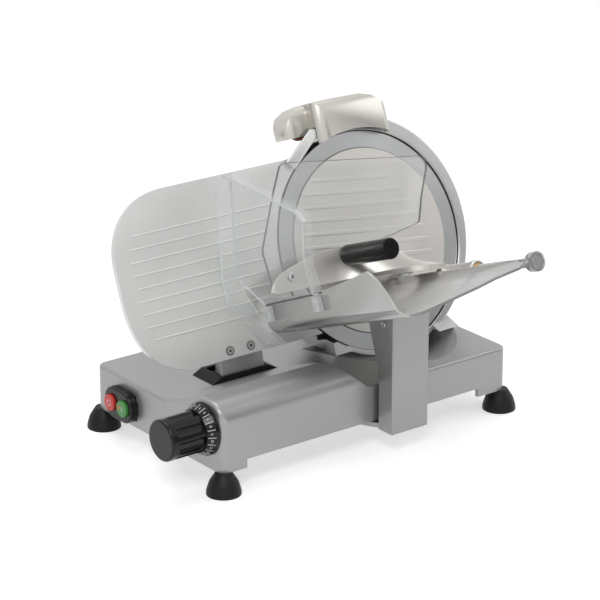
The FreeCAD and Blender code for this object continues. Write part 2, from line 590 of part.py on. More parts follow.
# ---------------------------------------------------------------- removable blade cover
blade_cover = doc.addObject("PartDesign::Body", "body")
place(blade_cover, at_blade(0, 0, "-cover_back"), "w")
face_sketch = blade_cover.newObject("Sketcher::SketchObject", "profile")
face_sketch.addGeometry(Part.Circle(FreeCAD.Vector(), FreeCAD.Vector(0, 0, 1), 50))
face_sketch.addConstraint(Sketcher.Constraint("Coincident", 0, 3, -1, 1))
face_sketch.addConstraint(Sketcher.Constraint("Radius", 0, 50))
face_sketch.setExpression("Constraints[1]", linked("blade_dish - cover_gap"))
face_pad = blade_cover.newObject("PartDesign::Pad", "pad")
face_pad.Profile = face_sketch
bind(face_pad, Length="cover_front + cover_back")
doc.recompute()
half_chords = ((-74, 12), (-88, 18), (-88, 24), (-92, 30), (-93, 36), (-95, 42), (-96, 50), (-96, 60))
pad(blade_cover, "XY", "cover_front + cover_back - 0.5", "cover_rib_height + 0.5",
    ribs(lambda index: half_chords[index][0], lambda index: half_chords[index][1],
         "cover_rib_pitch", "cover_rib_width", len(half_chords), "72", "cover_turn"))
soften_top(blade_cover, "cover_front + cover_back + cover_rib_height", "cover_rib_height - 0.1")
node("blade_cover", blade_cover)
tie_rod = cylinder("tie_rod_radius", "motor_cover_end - cover_back + 6",
                   at_blade(0, 0, "-motor_cover_end - 6"), "w")
node("cover_knob", fuse(tie_rod, cylinder("cover_knob_radius", "cover_knob_length",
                                          at_blade(0, 0, "-motor_cover_end - cover_knob_length"),
                                          "w")))

# ---------------------------------------------------------------- sharpener
COVER_OUTLINE = (
    # u, v, and how many wall thicknesses the inner face lies off along u and v
    ("sharpener_left", 131, 1, -9), ("sharpener_left", 137, 1, 0), ("sharpener_left + 3", 146, 1, -0.4),
    ("sharpener_left + 10", 156, 0.7, -0.8), ("sharpener_left + 21", 163, 0.4, -1),
    ("sharpener_left + 36", 166, 0, -1), (-20, 166.5, 0, -1), (22, 165.4, -0.3, -1),
    (36, 160.7, -0.5, -1), (50.6, 149, -1, -0.5), (55.3, 137.7, -1, 0),
    ("sharpener_right", 116, -1, -9), (-47, 108, 0, -6), (-52, 131, 0, -9))


def cover_block(offset, start, front):
    """The cover from a start along u to its right end, its edges rounded in end view and in plan."""
    left, right = f"({start} + {offset})", f"(sharpener_right - {offset})"
    back, front = f"({offset} - sharpener_back)", f"({front} - {offset})"
    radius = f"sharpener_round - {offset}"
    outline = extruded("XY", [(f"{u} + {offset} * {side}", f"{v} + {offset} * {rise}")
                              for u, v, side, rise in COVER_OUTLINE],
                       back, f"{front} - {back}", tilted=True)
    end_view = extruded("YZ", [(90, back), (f"166.5 - {offset}", back, radius),
                               (f"166.5 - {offset}", front, radius), (90, front)],
                        left, f"{right} - {left}", tilted=True)
    plan = extruded("XZ", [(left, back, radius), (right, back, radius), (right, front, radius),
                           (left, front, radius)], "-180", "120", tilted=True)
    return common(common(outline, end_view), plan)


def sharpener_form(offset):
    """A low block over the grinding stone and one that comes out over the blade's ring."""
    return fuse(cover_block(offset, "sharpener_left", "step_front"),
                cover_block(offset, "step_u", "sharpener_front"))


cover_form = sharpener_form("0")
cover_space = sharpener_form("sharpener_wall")
over_ring = cylinder("ring_radius + sharpener_gap", "sharpener_back + ring_front + sharpener_gap + 1",
                     at_blade("ring_shift_u", "ring_shift_v", "-sharpener_back - 1"), "w")
over_blade = cylinder("ring_inside", "100", at_blade(0, 0, -50), "w")
tip_guard_slot = box("sharpener_wall + 2", "38", "tip_guard_thickness + 2 * sharpener_gap",
                     at_blade("step_u - 1", 100, "ring_front - sharpener_gap"), "w")
button_u = "(stone_u + 9)"
button_bore = cylinder("6.4", "10", at_blade(button_u, 150, "-sharpener_back - 2"), "w")
post_axis = ("post_u", 135, "post_w")
sharpener_post = cylinder("sharpener_post_radius", "27", at_blade(*post_axis), "v")
node("sharpener_post", cut(sharpener_post, ring_casting))
sharpener_cover = node("sharpener_cover", cut(cover_form, cover_space, over_ring, over_blade,
                                              tip_guard_slot, button_bore))
arm_block = box("50", "9", "sharpener_back - sharpener_wall - 6",
                at_blade("post_u - 25", 145, "sharpener_wall - sharpener_back"), "w")
spindles = [cylinder("spindle_radius", "sharpener_back - sharpener_wall - 5",
                     at_blade("stone_u", "stone_v", "sharpener_wall - sharpener_back"), "w"),
            cylinder("spindle_radius", "7.5",
                     at_blade("deburrer_u", "deburrer_v",
                              "sharpener_front - sharpener_wall - 7.5"), "w")]
post_bore = cylinder("sharpener_post_radius + running_gap", "60", at_blade(*post_axis), "v")
node("sharpener_arm", group(cut(arm_block, post_bore), *spindles))
node("grinding_stone", tube("grinder_radius", "spindle_radius + running_gap", "8",
                            at_blade("stone_u", "stone_v", -14), "w"))
node("deburring_stone", tube("deburrer_radius", "spindle_radius + running_gap", "6",
                             at_blade("deburrer_u", "deburrer_v", 5.5), "w"))
node("sharpener_knob", cylinder("10", "16", at_blade("post_u", 152, "-sharpener_back - 16"), "w"))
node("sharpener_button", cylinder("6", "14", at_blade(button_u, 150, "-sharpener_back - 11"), "w"))

# ---------------------------------------------------------------- carriage under the table
slide_length = "(2 * (base_half_length - base_wall - slide_rod_end))"
slide_start = "(-base_half_length + base_wall + slide_rod_end)"
slide_rod = node("slide_rod", cylinder("slide_rod_radius", slide_length,
                                       (slide_start, SLIDE_Y, "slide_rod_z"), "x"))
mount_blocks = [box("12", "slide_gap + foot_block_half + 9", "26",
                    (x, NEAR_INSIDE, "slide_rod_z - 10"))
                for x in (slide_start, f"{slide_start} + {slide_length} - 12")]
node("slide_rod_mounts", cut(group(*mount_blocks), base_casting,
                             cylinder("slide_rod_radius", slide_length,
                                      (slide_start, SLIDE_Y, "slide_rod_z"), "x")))
tongue = extruded("XY", [
    ("post_left + post_wall", f"{POST_FRONT} + post_wall"),
    ("post_right - post_wall", f"{POST_FRONT} + post_wall"), ("post_right - post_wall", POST_BACK),
    ("post_right", f"{SLIDE_Y} + foot_block_half"),
    ("post_left - 12", f"{SLIDE_Y} + foot_block_half"),
    ("post_left + post_wall", POST_BACK)], "tongue_bottom", "tongue_thickness")
foot_block = box("post_right - post_left", "2 * foot_block_half",
                 "slide_rod_z + foot_block_half - tongue_bottom",
                 ("post_left", f"{SLIDE_Y} - foot_block_half", "tongue_bottom"))
foot_bore = cylinder("slide_bush_radius", "100", ("post_left - 20", SLIDE_Y, "slide_rod_z"), "x")
node("carriage_foot", cut(fuse(tongue, foot_block), foot_bore))
node("slide_bushes", group(*[tube("slide_bush_radius", "slide_rod_radius + running_gap", "15",
                                  (x, SLIDE_Y, "slide_rod_z"), "x")
                             for x in ("post_left - 1", "post_right - 14")]))


def seat_height(y):
    """Height of the plane that the table sits on, at a given Y."""
    return (f"blade_z + tray_seat * cos(tilt) + "
            f"(blade_y + tray_seat * sin(tilt) - ({y})) * tan(tilt)")


post_top_y = f"({POST_BACK} + 19)"
post_outline = [(POST_FRONT, "tongue_bottom"), (POST_BACK, "tongue_bottom"),
                (POST_BACK, "base_top + 12"), (f"{POST_BACK} + 15.5", "base_top + 60"),
                (post_top_y, seat_height(post_top_y)), (POST_FRONT, seat_height(POST_FRONT))]
post_form = extruded("YZ", post_outline, "post_left", "post_right - post_left")
channel = box("post_right - post_left - 2 * post_wall", "80", "base_top + 60 - tongue_bottom",
              ("post_left + post_wall", f"{POST_FRONT} + post_wall", "tongue_bottom"))
post_front = value(POST_FRONT)
post_form = rounded(post_form, "post_edge", lambda point: abs(point.y - post_front) < 1e-6)
node("carriage_post", cut(post_form, channel))

# ---------------------------------------------------------------- product table
floor_line = ((-133.5, -72.3), (-97.3, -67.8), (-57, -62.3), (-32, -58.1), (2, -54.7),
              (14.5, -48.5))
section = [("tray_left", 0), ("tray_left", "tray_floor - tray_sheet", "tray_bend + tray_sheet")]
section += [(f"{u} + tray_sheet * {0.45 if u > 10 else 0.1}", f"{v} - tray_sheet") for u, v in floor_line]
section += list(reversed(floor_line))
section += [("tray_left + tray_sheet", "tray_floor", "tray_bend"), ("tray_left + tray_sheet", 0)]
tray_sheet_form = extruded("XY", section, "tray_back", "tray_length", tilted=True)
above_wall = extruded("YZ", [
    (-34.7, "tray_back - 1"), (-34.7, 117), (-27.5, 165), (-20.5, 205), (-25, 212), (-33.5, 221),
    (-50, 233), (-66, 241), ("tray_floor - tray_sheet", "tray_back + tray_length"), (0, 300),
    (40, 300), (40, "tray_back - 1")],
    "tray_left - 1", "tray_bend + tray_sheet", tilted=True)
lug_spots = ("tray_back", "tray_back + tray_length - 2 - lug_width")
lugs = [fuse(box("18", "9", "lug_width", at_blade(12, "rod_v - 3", w), "w"),
             cylinder("pusher_sleeve_radius", "lug_width", at_blade("rod_u", "rod_v", w), "w"))
        for w in lug_spots]
rod_length_w = "(tray_length - 2)"
rod_axis = cylinder("pusher_rod_radius", rod_length_w, at_blade("rod_u", "rod_v", "tray_back"), "w")
meat_tray = node("meat_tray", cut(fuse(cut(tray_sheet_form, above_wall), *lugs), rod_axis))
node("pusher_rod", rod_axis)
bracket_block = box("post_right - post_left", "24", "46",
                    at_blade("post_left - blade_x", "tray_seat", 100), "w")
above_floor = extruded("XY", [("tray_left", "tray_floor - tray_sheet")]
                       + [(u, f"{v} - tray_sheet") for u, v in floor_line]
                       + [(14.5, 100), ("tray_left", 100)], "0", "300", tilted=True)
node("tray_bracket", cut(bracket_block, above_floor, meat_tray))

# ---------------------------------------------------------------- clear guard on the table wall
PANEL_SLOPE_W = 0.0983
PANEL_SLOPE_V = -0.02696


def panel_point(v, w):
    return (-193 + PANEL_SLOPE_W * w + PANEL_SLOPE_V * v, v, w)


far_bend = panel_point(-4, 4)
near_bend = panel_point(-1, 132)
far_hem = (-168.2, -42, 11)
near_hem = (-168.2, -37, 119)
across = ("guard_sheet", 0, 0)


def lip(start, end):
    """A flange folded back from the panel's rim, between two of its corners."""
    rise = blade_vector(*end) - blade_vector(*start)
    width = FreeCAD.Vector(-value("guard_lip"), 0, 0)
    inward = rise.cross(width).normalize() * value("guard_sheet")
    corners = [blade_vector(*start), blade_vector(*end)]
    corners += [corner + width for corner in reversed(corners)]
    return Part.Face(Part.makePolygon(corners + corners[:1])).extrude(inward)


outward = (0, 0, "guard_sheet")
near_rim = [panel_point(109, 35), panel_point(60, 131), panel_point(54, 139), panel_point(43, 145),
            near_bend, near_hem]
panels = [lip(*corners) for corners in zip(near_rim, near_rim[1:])]
panels += [
    sheet_panel(near_rim[:-1] + [far_bend], across),
    sheet_panel([far_bend, near_bend, near_hem], across),
    sheet_panel([far_bend, near_hem, far_hem], across),
    sheet_panel([(-211.5, 100, 32.5), (-192.5, 100, 32.5), (-192.5, -4, 4), (-211.5, -4, 4)], outward),
    sheet_panel([(-211.5, -4, 4), (-211.5, -28.5, 4), (-173.5, -83, 4), (-148, -88.5, 4),
                 (-172, -55, 4), (-186.6, -23, 4), (-189, -4, 4)], outward)]
hand_guard = doc.addObject("Part::Feature", "hand_guard")
hand_guard.Shape = panels[0].multiFuse(panels[1:]).cut(meat_tray.Shape).removeSplitter()
node("hand_guard", hand_guard)
node("guard_clamps", group(*[box("8", "17", "10", at_blade("tray_left - 8", v, w), "w")
                             for v, w in ((-59.5, 14), (-55.5, 108))]))

# ---------------------------------------------------------------- meat pusher
node("pusher_bush", tube("pusher_bush_radius", "pusher_rod_radius + running_gap", "sleeve_length",
                         at_blade("rod_u", "rod_v", "sleeve_back"), "w"))
arm_plate = extruded("XY", [
    (-162, -31), (-162, -22), (-149, -11.4, 20), (-125, -4.7, 40), (-107, 0, 60), (-80, 2.2, 60),
    (-58, 0, 60), (-27, -5, 60), (2, -14, 40), (24, -28, 20), (31, -52), (19, -52), (15, -43, 10),
    (-33, -36.6, 60)],
    "pusher_back", "pusher_thickness", tilted=True)
arm_link = extruded("XY", [(2, -14), (24, -28), (38, -46), (24, -44), (13, -41), (-8, -37), (-8, -16)],
                    "pusher_back", "sleeve_back + 20 - pusher_back", tilted=True)
sleeve = cylinder("pusher_sleeve_radius", "sleeve_length", at_blade("rod_u", "rod_v", "sleeve_back"), "w")
sleeve_bore = cylinder("pusher_bush_radius + running_gap", "300", at_blade("rod_u", "rod_v", 0), "w")
pusher_screw_spot = (-138, -17)
pusher_screw_hole = cylinder("3", "pusher_thickness",
                             at_blade(*pusher_screw_spot, "pusher_back"), "w")
around_rod = cylinder("pusher_rod_radius + 4", "80", at_blade("rod_u", "rod_v", 0), "w")
node("meat_pusher", cut(fuse(arm_plate, arm_link, sleeve), sleeve_bore, around_rod,
                        pusher_screw_hole))
handle_spot = at_blade("handle_u", "handle_v", "pusher_back + pusher_thickness")
node("pusher_handle", rounded(cylinder("handle_radius", "handle_length", handle_spot, "w"),
                              "handle_edge", lambda point: True))
node("slice_guard", extruded("XY", [
    (-158, -24, 4), (-161, 18, 20), (-129, 79, 20), (-112, 108, 10), (94, 79, 12), (71, 34, 20),
    (60, 6.5, 6)], "guard_plate_back", "guard_plate_thickness", tilted=True))
spacer_start = "(guard_plate_back + guard_plate_thickness)"
spacers = [cylinder("3", f"pusher_back - {spacer_start}", at_blade(u, v, spacer_start), "w")
           for u, v in ((-138, -17), (-70, -12), (-10, -20))]
head = cylinder("3", "pusher_thickness + 1", at_blade(*pusher_screw_spot, "pusher_back"), "w")
node("pusher_screws", group(fuse(spacers[0], head), *spacers[1:]))

# ---------------------------------------------------------------- cable gland at the back
gland_hole_spot = ("-120", "base_half_depth", "base_bottom + 26")
node("cable_gland", cylinder("9", "12", gland_hole_spot, "y"))

doc.recompute()
for item in doc.Objects:
    if "Invalid" in item.State or "Error" in item.State:
        raise RuntimeError(f"{item.Label} ({item.Name}) failed: {item.State}")
for item in nodes:
    if item.Shape.isNull() or not item.Shape.isValid() or not item.Shape.Solids:
        raise RuntimeError(f"{item.Label} has no valid solid")

os.makedirs("parts", exist_ok=True)
for item in nodes:
    item.Shape.exportStep(f"parts/{item.Label}.step")
    print(item.Label, len(item.Shape.Solids), round(item.Shape.Volume))
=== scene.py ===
import json
import math

import bmesh
import bpy
from mathutils import Matrix, Vector


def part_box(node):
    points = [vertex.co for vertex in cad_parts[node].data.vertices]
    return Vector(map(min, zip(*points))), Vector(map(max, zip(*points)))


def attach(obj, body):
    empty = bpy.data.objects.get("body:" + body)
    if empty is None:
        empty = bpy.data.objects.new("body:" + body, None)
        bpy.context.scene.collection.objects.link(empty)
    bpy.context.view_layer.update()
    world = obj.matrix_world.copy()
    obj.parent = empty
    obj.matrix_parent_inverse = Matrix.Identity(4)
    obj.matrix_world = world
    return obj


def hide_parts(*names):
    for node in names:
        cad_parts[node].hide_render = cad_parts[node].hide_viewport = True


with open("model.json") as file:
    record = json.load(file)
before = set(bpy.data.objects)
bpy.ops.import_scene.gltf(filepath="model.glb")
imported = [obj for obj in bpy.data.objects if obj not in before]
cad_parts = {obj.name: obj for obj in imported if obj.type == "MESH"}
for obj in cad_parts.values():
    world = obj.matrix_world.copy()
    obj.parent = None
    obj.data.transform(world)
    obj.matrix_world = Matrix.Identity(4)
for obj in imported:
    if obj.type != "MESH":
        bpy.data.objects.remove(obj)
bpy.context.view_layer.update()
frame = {"nodes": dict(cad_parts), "record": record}

TILT = math.radians(21)
BLADE_CENTRE = Vector((0.110, 0.019, 0.1835))
ALONG = Vector((1, 0, 0))                                   # u: across the blade face
CLIMB = Vector((0, math.sin(TILT), math.cos(TILT)))         # v: up the blade face
OUTWARD = Vector((0, -math.cos(TILT), math.sin(TILT)))      # w: out of the face, to the operator


def blade_point(u, v, w):
    """A point of the blade frame, given in millimetres, in world metres."""
    return BLADE_CENTRE + (ALONG * u + CLIMB * v + OUTWARD * w) / 1000


# ---------------------------------------------------------------- materials
def new_material(name):
    material = bpy.data.materials.new(name)
    material.use_nodes = True
    tree = material.node_tree
    shader = tree.nodes["Principled BSDF"]
    return material, tree, shader


def noise(tree, scale, detail=3.0, roughness=0.5, stretch=(1, 1, 1)):
    coordinates = tree.nodes.new("ShaderNodeTexCoord")
    mapping = tree.nodes.new("ShaderNodeMapping")
    mapping.inputs["Scale"].default_value = stretch
    texture = tree.nodes.new("ShaderNodeTexNoise")
    texture.inputs["Scale"].default_value = scale
    texture.inputs["Detail"].default_value = detail
    texture.inputs["Roughness"].default_value = roughness
    tree.links.new(coordinates.outputs["Object"], mapping.inputs["Vector"])
    tree.links.new(mapping.outputs["Vector"], texture.inputs["Vector"])
    return texture.outputs["Fac"]


def ramp(tree, factor, low, high, start=0.3, end=0.7):
    node = tree.nodes.new("ShaderNodeMapRange")
    node.inputs["From Min"].default_value = start
    node.inputs["From Max"].default_value = end
    node.inputs["To Min"].default_value = low
    node.inputs["To Max"].default_value = high
    tree.links.new(factor, node.inputs["Value"])
    return node.outputs["Result"]


def tint(tree, factor, dark, light):
    node = tree.nodes.new("ShaderNodeMix")
    node.data_type = "RGBA"
    node.inputs["A"].default_value = (*dark, 1)
    node.inputs["B"].default_value = (*light, 1)
    tree.links.new(factor, node.inputs["Factor"])
    return node.outputs["Result"]


def bump(tree, shader, height, strength, distance):
    node = tree.nodes.new("ShaderNodeBump")
    node.inputs["Strength"].default_value = strength
    node.inputs["Distance"].default_value = distance
    tree.links.new(height, node.inputs["Height"])
    tree.links.new(node.outputs["Normal"], shader.inputs["Normal"])


def metal(name, colour, roughness, metallic=1.0, grain=900, grain_depth=0.00002,
          stretch=(1, 1, 1), mottling=0.03):
    """Satin metal: fine grain in the normals, slow mottling in colour and gloss."""
    material, tree, shader = new_material(name)
    shader.inputs["Metallic"].default_value = metallic
    slow = noise(tree, 14, 4)
    darker = [part * (1 - mottling) for part in colour]
    lighter = [min(1, part * (1 + mottling)) for part in colour]
    tree.links.new(tint(tree, slow, darker, lighter), shader.inputs["Base Color"])
    tree.links.new(ramp(tree, slow, roughness * 0.9, roughness * 1.12), shader.inputs["Roughness"])
    bump(tree, shader, noise(tree, grain, 2, 0.6, stretch), 0.35, grain_depth)
    return material


def plastic(name, colour, roughness, grain_depth=0.00002, specular=0.5):
    material, tree, shader = new_material(name)
    slow = noise(tree, 25, 4)
    lighter = [min(1, part * 1.12 + 0.002) for part in colour]
    tree.links.new(tint(tree, slow, colour, lighter), shader.inputs["Base Color"])
    tree.links.new(ramp(tree, slow, roughness * 0.85, roughness * 1.15), shader.inputs["Roughness"])
    shader.inputs["IOR"].default_value = 1.5
    shader.inputs["Specular IOR Level"].default_value = specular
    bump(tree, shader, noise(tree, 700, 2), 0.25, grain_depth)
    return material


def acrylic(name):
    """The broad faces of a clear sheet: almost invisible, with a faint haze and gloss."""
    material, tree, shader = new_material(name)
    shader.inputs["Base Color"].default_value = (0.93, 0.95, 0.94, 1)
    shader.inputs["Alpha"].default_value = 0.13
    shader.inputs["IOR"].default_value = 1.49
    slow = noise(tree, 9, 3)
    tree.links.new(ramp(tree, slow, 0.02, 0.06), shader.inputs["Roughness"])
    return material


def acrylic_edge(name, alpha):
    """A polished edge or a thick block of acrylic, painted pale: the pale colour is painted light,
    standing in for the light that the clear acrylic gathers.
    """
    material, tree, shader = new_material(name)
    slow = noise(tree, 160, 3)
    tree.links.new(tint(tree, slow, (0.62, 0.64, 0.63), (0.92, 0.94, 0.93)),
                   shader.inputs["Base Color"])
    tree.links.new(ramp(tree, slow, 0.08, 0.3), shader.inputs["Roughness"])
    shader.inputs["Alpha"].default_value = alpha
    shader.inputs["IOR"].default_value = 1.49
    return material


def paint(name, colour):
    """Flat colour with a little unevenness: printed ink, the grey rims of the gauge screws, and painted
    shade in the sockets, in the cover's seam and on the slice guard's edges.
    """
    material, tree, shader = new_material(name)
    slow = noise(tree, 900, 2)
    tree.links.new(tint(tree, slow, [part * 0.85 for part in colour], colour),
                   shader.inputs["Base Color"])
    shader.inputs["Roughness"].default_value = 0.45
    return material


def abrasive(name, colour, speck):
    material, tree, shader = new_material(name)
    shader.inputs["Roughness"].default_value = 0.9
    grit = noise(tree, 2200, 2, 0.7)
    tree.links.new(tint(tree, grit, colour, speck), shader.inputs["Base Color"])
    bump(tree, shader, grit, 0.8, 0.0003)
    return material


MATERIALS = {
    "cast_grey": metal("cast_grey", (0.36, 0.36, 0.355), 0.36, metallic=0.7),
    "ring_aluminium": metal("ring_aluminium", (0.52, 0.53, 0.52), 0.3),
    "plate_aluminium": metal("plate_aluminium", (0.72, 0.73, 0.71), 0.36, metallic=0.75),
    "cover_aluminium": metal("cover_aluminium", (0.64, 0.62, 0.59), 0.36, metallic=0.8),
    "blade_steel": metal("blade_steel", (0.66, 0.67, 0.67), 0.22, grain_depth=0.000005),
    "sharpener_aluminium": metal("sharpener_aluminium", (0.56, 0.54, 0.50), 0.3, metallic=0.9),
    "tray_steel": metal("tray_steel", (0.47, 0.47, 0.46), 0.25, metallic=0.75, grain=1500,
                        grain_depth=0.000006),
    "machined_steel": metal("machined_steel", (0.6, 0.6, 0.6), 0.28),
    "bright_rod": metal("bright_rod", (0.85, 0.85, 0.85), 0.1, grain_depth=0.000004),
    "black_rubber": plastic("black_rubber", (0.006, 0.006, 0.006), 0.5, 0.00006, 0.25),
    "gloss_black": plastic("gloss_black", (0.005, 0.005, 0.005), 0.16, specular=0.3),
    "matte_black": plastic("matte_black", (0.006, 0.006, 0.006), 0.5, specular=0.2),
    "clear_acrylic": acrylic("clear_acrylic"),
    "red_plastic": plastic("red_plastic", (0.62, 0.035, 0.025), 0.3),
    "green_plastic": plastic("green_plastic", (0.05, 0.27, 0.05), 0.3),
    "grinding_stone": abrasive("grinding_stone", (0.14, 0.035, 0.02), (0.26, 0.09, 0.055)),
    "deburring_stone": abrasive("deburring_stone", (0.2, 0.19, 0.18), (0.34, 0.33, 0.31)),
    "bush_bronze": metal("bush_bronze", (0.62, 0.42, 0.2), 0.35),
    "motor_paint": plastic("motor_paint", (0.04, 0.04, 0.045), 0.4),
}
# pale paint on the hand guard's edges and the clamp blocks: painted light, for the light that the clear
# acrylic gathers
EDGE_PAINTED_LIGHT = acrylic_edge("acrylic_edge", 0.8)
BLOCK_PAINTED_LIGHT = acrylic_edge("clamp_painted_light", 0.6)
# dark grey on the slice guard's edges: painted shade, for the dark look of the clear edges
EDGE_PAINTED_SHADE = paint("slice_edge_painted_shade", (0.16, 0.165, 0.165))
# near-black paint in the screw sockets and the cover's seam: painted shade in recesses and gaps
RECESS_SHADE_PAINT = paint("recess_shade_paint", (0.03, 0.03, 0.03))
SCREW_GREY = paint("screw_grey", (0.2, 0.19, 0.17))
WHITE_PRINT = paint("white_print", (0.8, 0.8, 0.78))
ORANGE_PRINT = paint("orange_print", (0.75, 0.2, 0.02))
SLOTS = {part["node"]: part["material_slot"] for part in frame["record"]["subparts"]}
for name, node in frame["nodes"].items():
    node.data.materials.clear()
    node.data.materials.append(MATERIALS[SLOTS[name]])


# ---------------------------------------------------------------- pieces
def new_piece(name, mesh, body, materials, smooth=True):
    """A mesh object that rides on a body."""
    piece = bpy.data.objects.new(name, mesh)
    bpy.context.collection.objects.link(piece)
    for material in materials:
        mesh.materials.append(material)
    for polygon in mesh.polygons:
        polygon.use_smooth = smooth
    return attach(piece, body)


def body_of(node):
    return next(body for body, members in frame["record"]["behaviour"]["bodies"].items()
                if node in members)


def bevelled(piece, width, segments, slot=-1):
    """Rounds the piece's sharp edges. The new faces may take a material slot of their own."""
    modifier = piece.modifiers.new("bevel", "BEVEL")
    modifier.width = width
    modifier.segments = segments
    modifier.limit_method = "ANGLE"
    modifier.angle_limit = math.radians(28)
    modifier.material = slot
    modifier.harden_normals = True
    return piece


def softened(node, name, width, segments=3, edge_material=None, strip=0.005):
    """Stands for a CAD node: its own shape with rounded edges. Faces narrower than the strip
    take the edge material, if there is one."""
    shape = bmesh.new()
    shape.from_mesh(frame["nodes"][node].data)
    bmesh.ops.remove_doubles(shape, verts=shape.verts, dist=1e-6)
    bmesh.ops.dissolve_limit(shape, angle_limit=math.radians(1), verts=shape.verts,
                             edges=shape.edges)
    if edge_material:
        for face in shape.faces:
            if 2 * face.calc_area() / face.calc_perimeter() < strip:
                face.material_index = 1
    mesh = bpy.data.meshes.new(name)
    shape.to_mesh(mesh)
    shape.free()
    materials = [MATERIALS[SLOTS[node]]] + ([edge_material] if edge_material else [])
    piece = new_piece(name, mesh, body_of(node), materials)
    bevelled(piece, width, segments, 1 if edge_material else -1)
    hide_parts(node)
    return piece


# the hand guard's narrow and bevelled faces take the pale painted light of the edge material
softened("hand_guard", "hand_guard_sheet", 0.0007, 2, EDGE_PAINTED_LIGHT)
# the slice guard's narrow and bevelled faces take the dark grey painted shade
softened("slice_guard", "slice_guard_sheet", 0.0004, 2, EDGE_PAINTED_SHADE)
# the clamp blocks are painted pale all over: painted light, for the light the clear blocks gather
softened("guard_clamps", "guard_clamp_blocks", 0.0012, 3).data.materials[0] = BLOCK_PAINTED_LIGHT
softened("meat_tray", "table_sheet", 0.0011)
softened("carriage_post", "post_sheet", 0.0008).data.materials[0] = MATERIALS["cast_grey"]
softened("gauge_bracket", "gauge_foot", 0.001)
softened("blade_tip_guard", "tip_strip", 0.0007)
softened("sharpener_cover", "sharpener_cap", 0.0012)


def disc(name, body, place, facing, radius, depth, material, hole=0.0, sides=40):
    """A flat disc or ring, its back at the place given, its front the depth out from there."""
    facing = facing.normalized()
    aside = facing.orthogonal().normalized()
    over = facing.cross(aside)
    shape = bmesh.new()
    ways = [aside * math.cos(turn) + over * math.sin(turn)
            for turn in (2 * math.pi * step / sides for step in range(sides))]
    front = facing * depth
    middle_radius = hole or 1e-5
    rows = [[shape.verts.new(place + lift + way * size) for way in ways]
            for size, lift in ((radius, Vector()), (radius, front), (middle_radius, front),
                               (middle_radius, Vector()))]
    for row, following in zip(rows, rows[1:] + rows[:1]):
        for step in range(sides):
            after = (step + 1) % sides
            shape.faces.new((row[step], following[step], following[after], row[after]))
    bmesh.ops.recalc_face_normals(shape, faces=shape.faces)
    mesh = bpy.data.meshes.new(name)
    shape.to_mesh(mesh)
    shape.free()
    return new_piece(name, mesh, body, [material], smooth=False)


def block(shape, centre, along, across, up):
    """Adds a box to a bmesh from its centre and three half-size vectors."""
    corners = [shape.verts.new(centre + along * a + across * b + up * c)
               for a in (-1, 1) for b in (-1, 1) for c in (-1, 1)]
    for face in ((0, 1, 3, 2), (4, 6, 7, 5), (0, 4, 5, 1), (2, 3, 7, 6), (0, 2, 6, 4), (1, 5, 7, 3)):
        shape.faces.new([corners[index] for index in face])


# ---------------------------------------------------------------- dial of the thickness knob
KNOB_LOW, KNOB_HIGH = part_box("thickness_knob")
KNOB_AXIS = (KNOB_LOW + KNOB_HIGH) / 2
DIAL_COUNT = 20
DIAL_BACK = KNOB_HIGH.x - 0.003                      # the dial's cone runs from here to its front
DIAL_FRONT = KNOB_HIGH.x - 0.012
DIAL_RADIUS = (KNOB_HIGH.y - KNOB_LOW.y) / 2
DIAL_SLOPE = 5 / 9                                   # how fast the cone widens towards the base
PRINT_DEPTH = 0.00012


def dial_frame(turn, x):
    """A point of the dial's cone, with the ways round it, up it (towards -X) and out of it."""
    radial = Vector((0, math.cos(turn), math.sin(turn)))
    radius = DIAL_RADIUS - (DIAL_BACK - x) * DIAL_SLOPE
    uphill = (Vector((-1, 0, 0)) - radial * DIAL_SLOPE).normalized()
    around = Vector((0, -math.sin(turn), math.cos(turn)))
    outward = around.cross(uphill)
    if outward.dot(radial) < 0:
        outward = -outward
    return Vector((x, KNOB_AXIS.y, KNOB_AXIS.z)) + radial * radius, around, uphill, outward


def dial_marks():
    shape = bmesh.new()
    middle_x = (DIAL_BACK + DIAL_FRONT) / 2
    for index in range(DIAL_COUNT):
        point, around, uphill, outward = dial_frame(2 * math.pi * index / DIAL_COUNT, middle_x)
        block(shape, point, uphill * 0.0042, around * 0.00035, outward * PRINT_DEPTH)
    for index in range(DIAL_COUNT - 5):
        point, around, uphill, outward = dial_frame(2 * math.pi * (index + 0.5) / DIAL_COUNT,
                                                    middle_x + 0.0014)
        letters = bpy.data.curves.new("digit", "FONT")
        letters.body = str(index)
        letters.size = 0.0042
        letters.align_x = "CENTER"
        letters.extrude = PRINT_DEPTH
        holder = bpy.data.objects.new("digit", letters)
        digit = bpy.data.meshes.new_from_object(holder)
        right = uphill.cross(outward)
        turned = Matrix((right, uphill, outward)).transposed().to_4x4()
        digit.transform(Matrix.Translation(point) @ turned)
        shape.from_mesh(digit)
        bpy.data.objects.remove(holder)
    mesh = bpy.data.meshes.new("dial_marks")
    shape.to_mesh(mesh)
    shape.free()
    new_piece("dial_marks", mesh, "knob", [WHITE_PRINT], smooth=False)


dial_marks()

# ---------------------------------------------------------------- marks on the two buttons
STOP_LOW, STOP_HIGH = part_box("stop_button")
START_LOW, START_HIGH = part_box("start_button")


def face_centre(low, high):
    return Vector((low.x, (low.y + high.y) / 2, (low.z + high.z) / 2))


